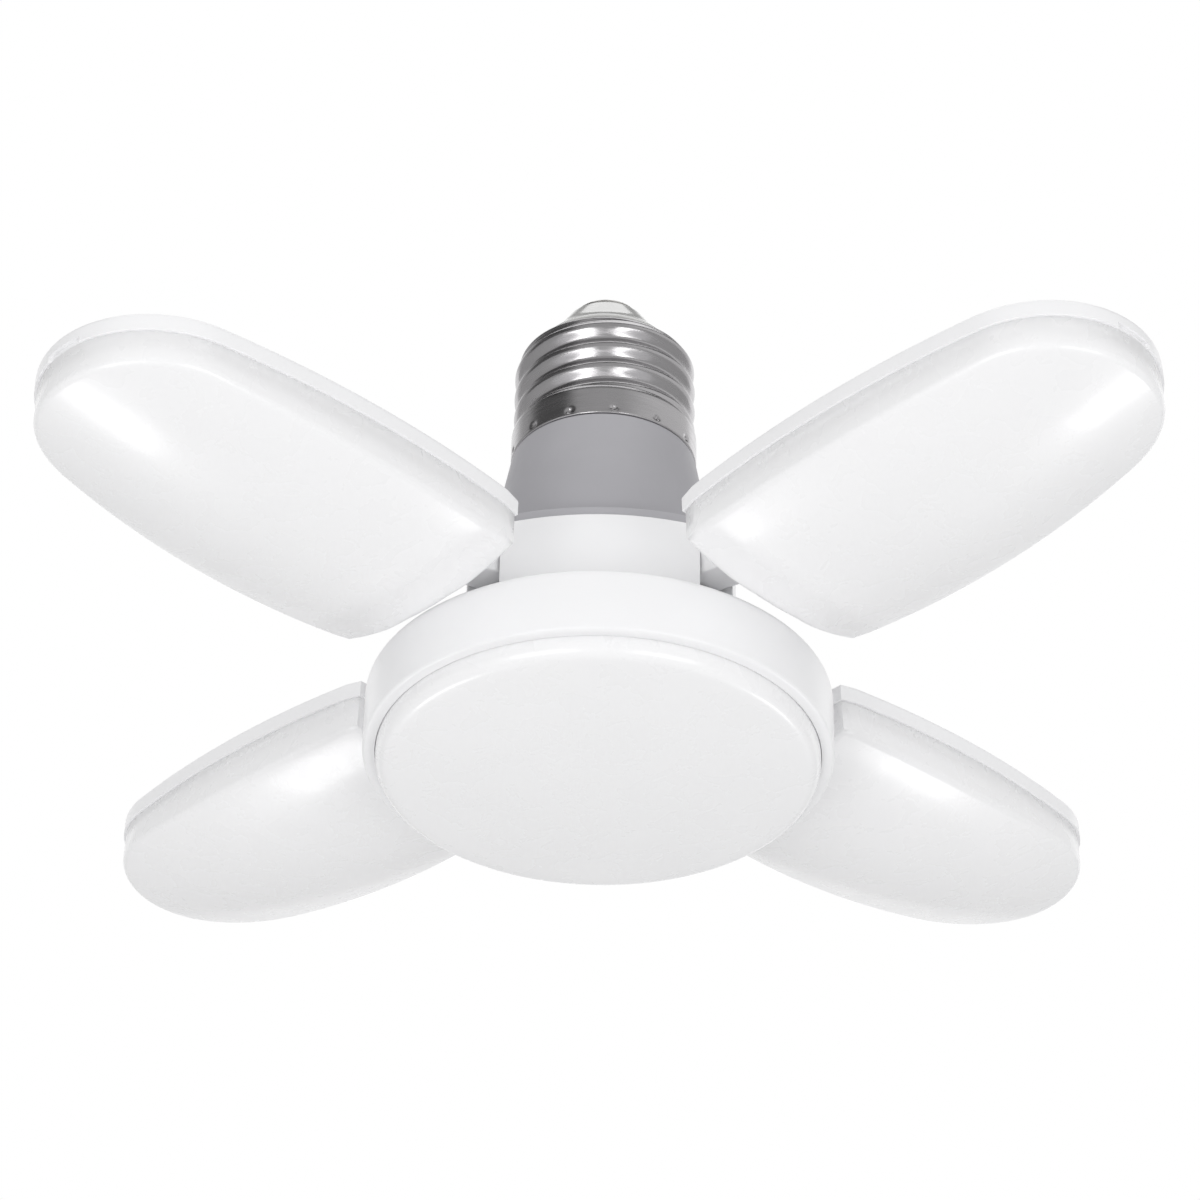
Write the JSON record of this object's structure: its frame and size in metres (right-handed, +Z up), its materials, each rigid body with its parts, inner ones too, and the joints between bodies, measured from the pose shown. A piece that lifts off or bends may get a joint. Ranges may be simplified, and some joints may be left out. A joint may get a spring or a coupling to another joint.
{
  "type": "deformable garage light",
  "caption": "Screw-in ceiling lamp: round centre light below a square hub, with leaf-shaped light panels that fold up on hinges around a threaded cap.",
  "frame": {"origin": "on the lamp's axis, in the plane of the screw cap's lower edge", "axes": "+Z up along the cap towards the ceiling; the lamp hangs below it; the leaves point along the diagonals between X and Y; the picture looks from -Y and below"},
  "size_m": [0.145, 0.145, 0.0824],
  "materials": {
    "cap_nickel": "nickel plated, bright",
    "cap_glaze": "glossy",
    "contact_solder": "satin",
    "neck_plastic": "satin",
    "white_plastic": "semi-gloss",
    "milky_plastic": "translucent, semi-gloss",
    "board_aluminium": "white solder mask",
    "led_resin": "phosphor resin",
    "screw_steel": "zinc plated",
    "washer_nylon": "smooth",
    "driver_laminate": "satin",
    "ferrite": "matte",
    "capacitor_can": "sleeved",
    "resistor_glaze": "glazed",
    "wire_red": "matte",
    "wire_black": "matte"
  },
  "bodies": {
    "lamp_body": {"screw_shell": "cap_nickel", "cap_insulator": "cap_glaze", "centre_contact": "contact_solder", "neck_sleeve": "neck_plastic", "hub_housing": "white_plastic", "housing_screws": "screw_steel", "disc_housing": "white_plastic", "disc_led_board": "board_aluminium", "disc_leds": "led_resin", "disc_board_screws": "screw_steel", "disc_diffuser": "milky_plastic", "driver_board": "driver_laminate", "driver_transformer": "ferrite", "driver_capacitor": "capacitor_can", "driver_rectifier": "ferrite", "driver_choke": "ferrite", "fuse_resistor": "resistor_glaze", "live_lead": "wire_red", "neutral_lead": "wire_black", "disc_leads": "wire_black", "hinge_pin_front_left": "screw_steel", "hinge_washers_front_left": "washer_nylon", "hinge_pin_front_right": "screw_steel", "hinge_washers_front_right": "washer_nylon", "hinge_pin_back_right": "screw_steel", "hinge_washers_back_right": "washer_nylon", "hinge_pin_back_left": "screw_steel", "hinge_washers_back_left": "washer_nylon"},
    "leaf_front_left": {"leaf_shell_front_left": "white_plastic", "leaf_cover_front_left": "milky_plastic", "leaf_led_board_front_left": "board_aluminium", "leaf_leds_front_left": "led_resin", "leaf_board_screws_front_left": "screw_steel"},
    "leaf_front_right": {"leaf_shell_front_right": "white_plastic", "leaf_cover_front_right": "milky_plastic", "leaf_led_board_front_right": "board_aluminium", "leaf_leds_front_right": "led_resin", "leaf_board_screws_front_right": "screw_steel"},
    "leaf_back_right": {"leaf_shell_back_right": "white_plastic", "leaf_cover_back_right": "milky_plastic", "leaf_led_board_back_right": "board_aluminium", "leaf_leds_back_right": "led_resin", "leaf_board_screws_back_right": "screw_steel"},
    "leaf_back_left": {"leaf_shell_back_left": "white_plastic", "leaf_cover_back_left": "milky_plastic", "leaf_led_board_back_left": "board_aluminium", "leaf_leds_back_left": "led_resin", "leaf_board_screws_back_left": "screw_steel"}
  },
  "joints": [
    {"name": "leaf_fold_front_left", "type": "hinge", "parent": "lamp_body", "child": "leaf_front_left", "pos_m": [-0.01237, -0.01237, -0.026], "axis": [-0.7071, 0.7071, 0], "range_deg": [-0.5, 89.5]},
    {"name": "leaf_fold_front_right", "type": "hinge", "parent": "lamp_body", "child": "leaf_front_right", "pos_m": [0.01237, -0.01237, -0.026], "axis": [-0.7071, -0.7071, 0], "range_deg": [-3.3, 86.7]},
    {"name": "leaf_fold_back_right", "type": "hinge", "parent": "lamp_body", "child": "leaf_back_right", "pos_m": [0.01237, 0.01237, -0.026], "axis": [0.7071, -0.7071, 0], "range_deg": [-3.4, 86.6]},
    {"name": "leaf_fold_back_left", "type": "hinge", "parent": "lamp_body", "child": "leaf_back_left", "pos_m": [-0.01237, 0.01237, -0.026], "axis": [0.7071, 0.7071, 0], "range_deg": [-2.4, 87.6]}
  ]
}
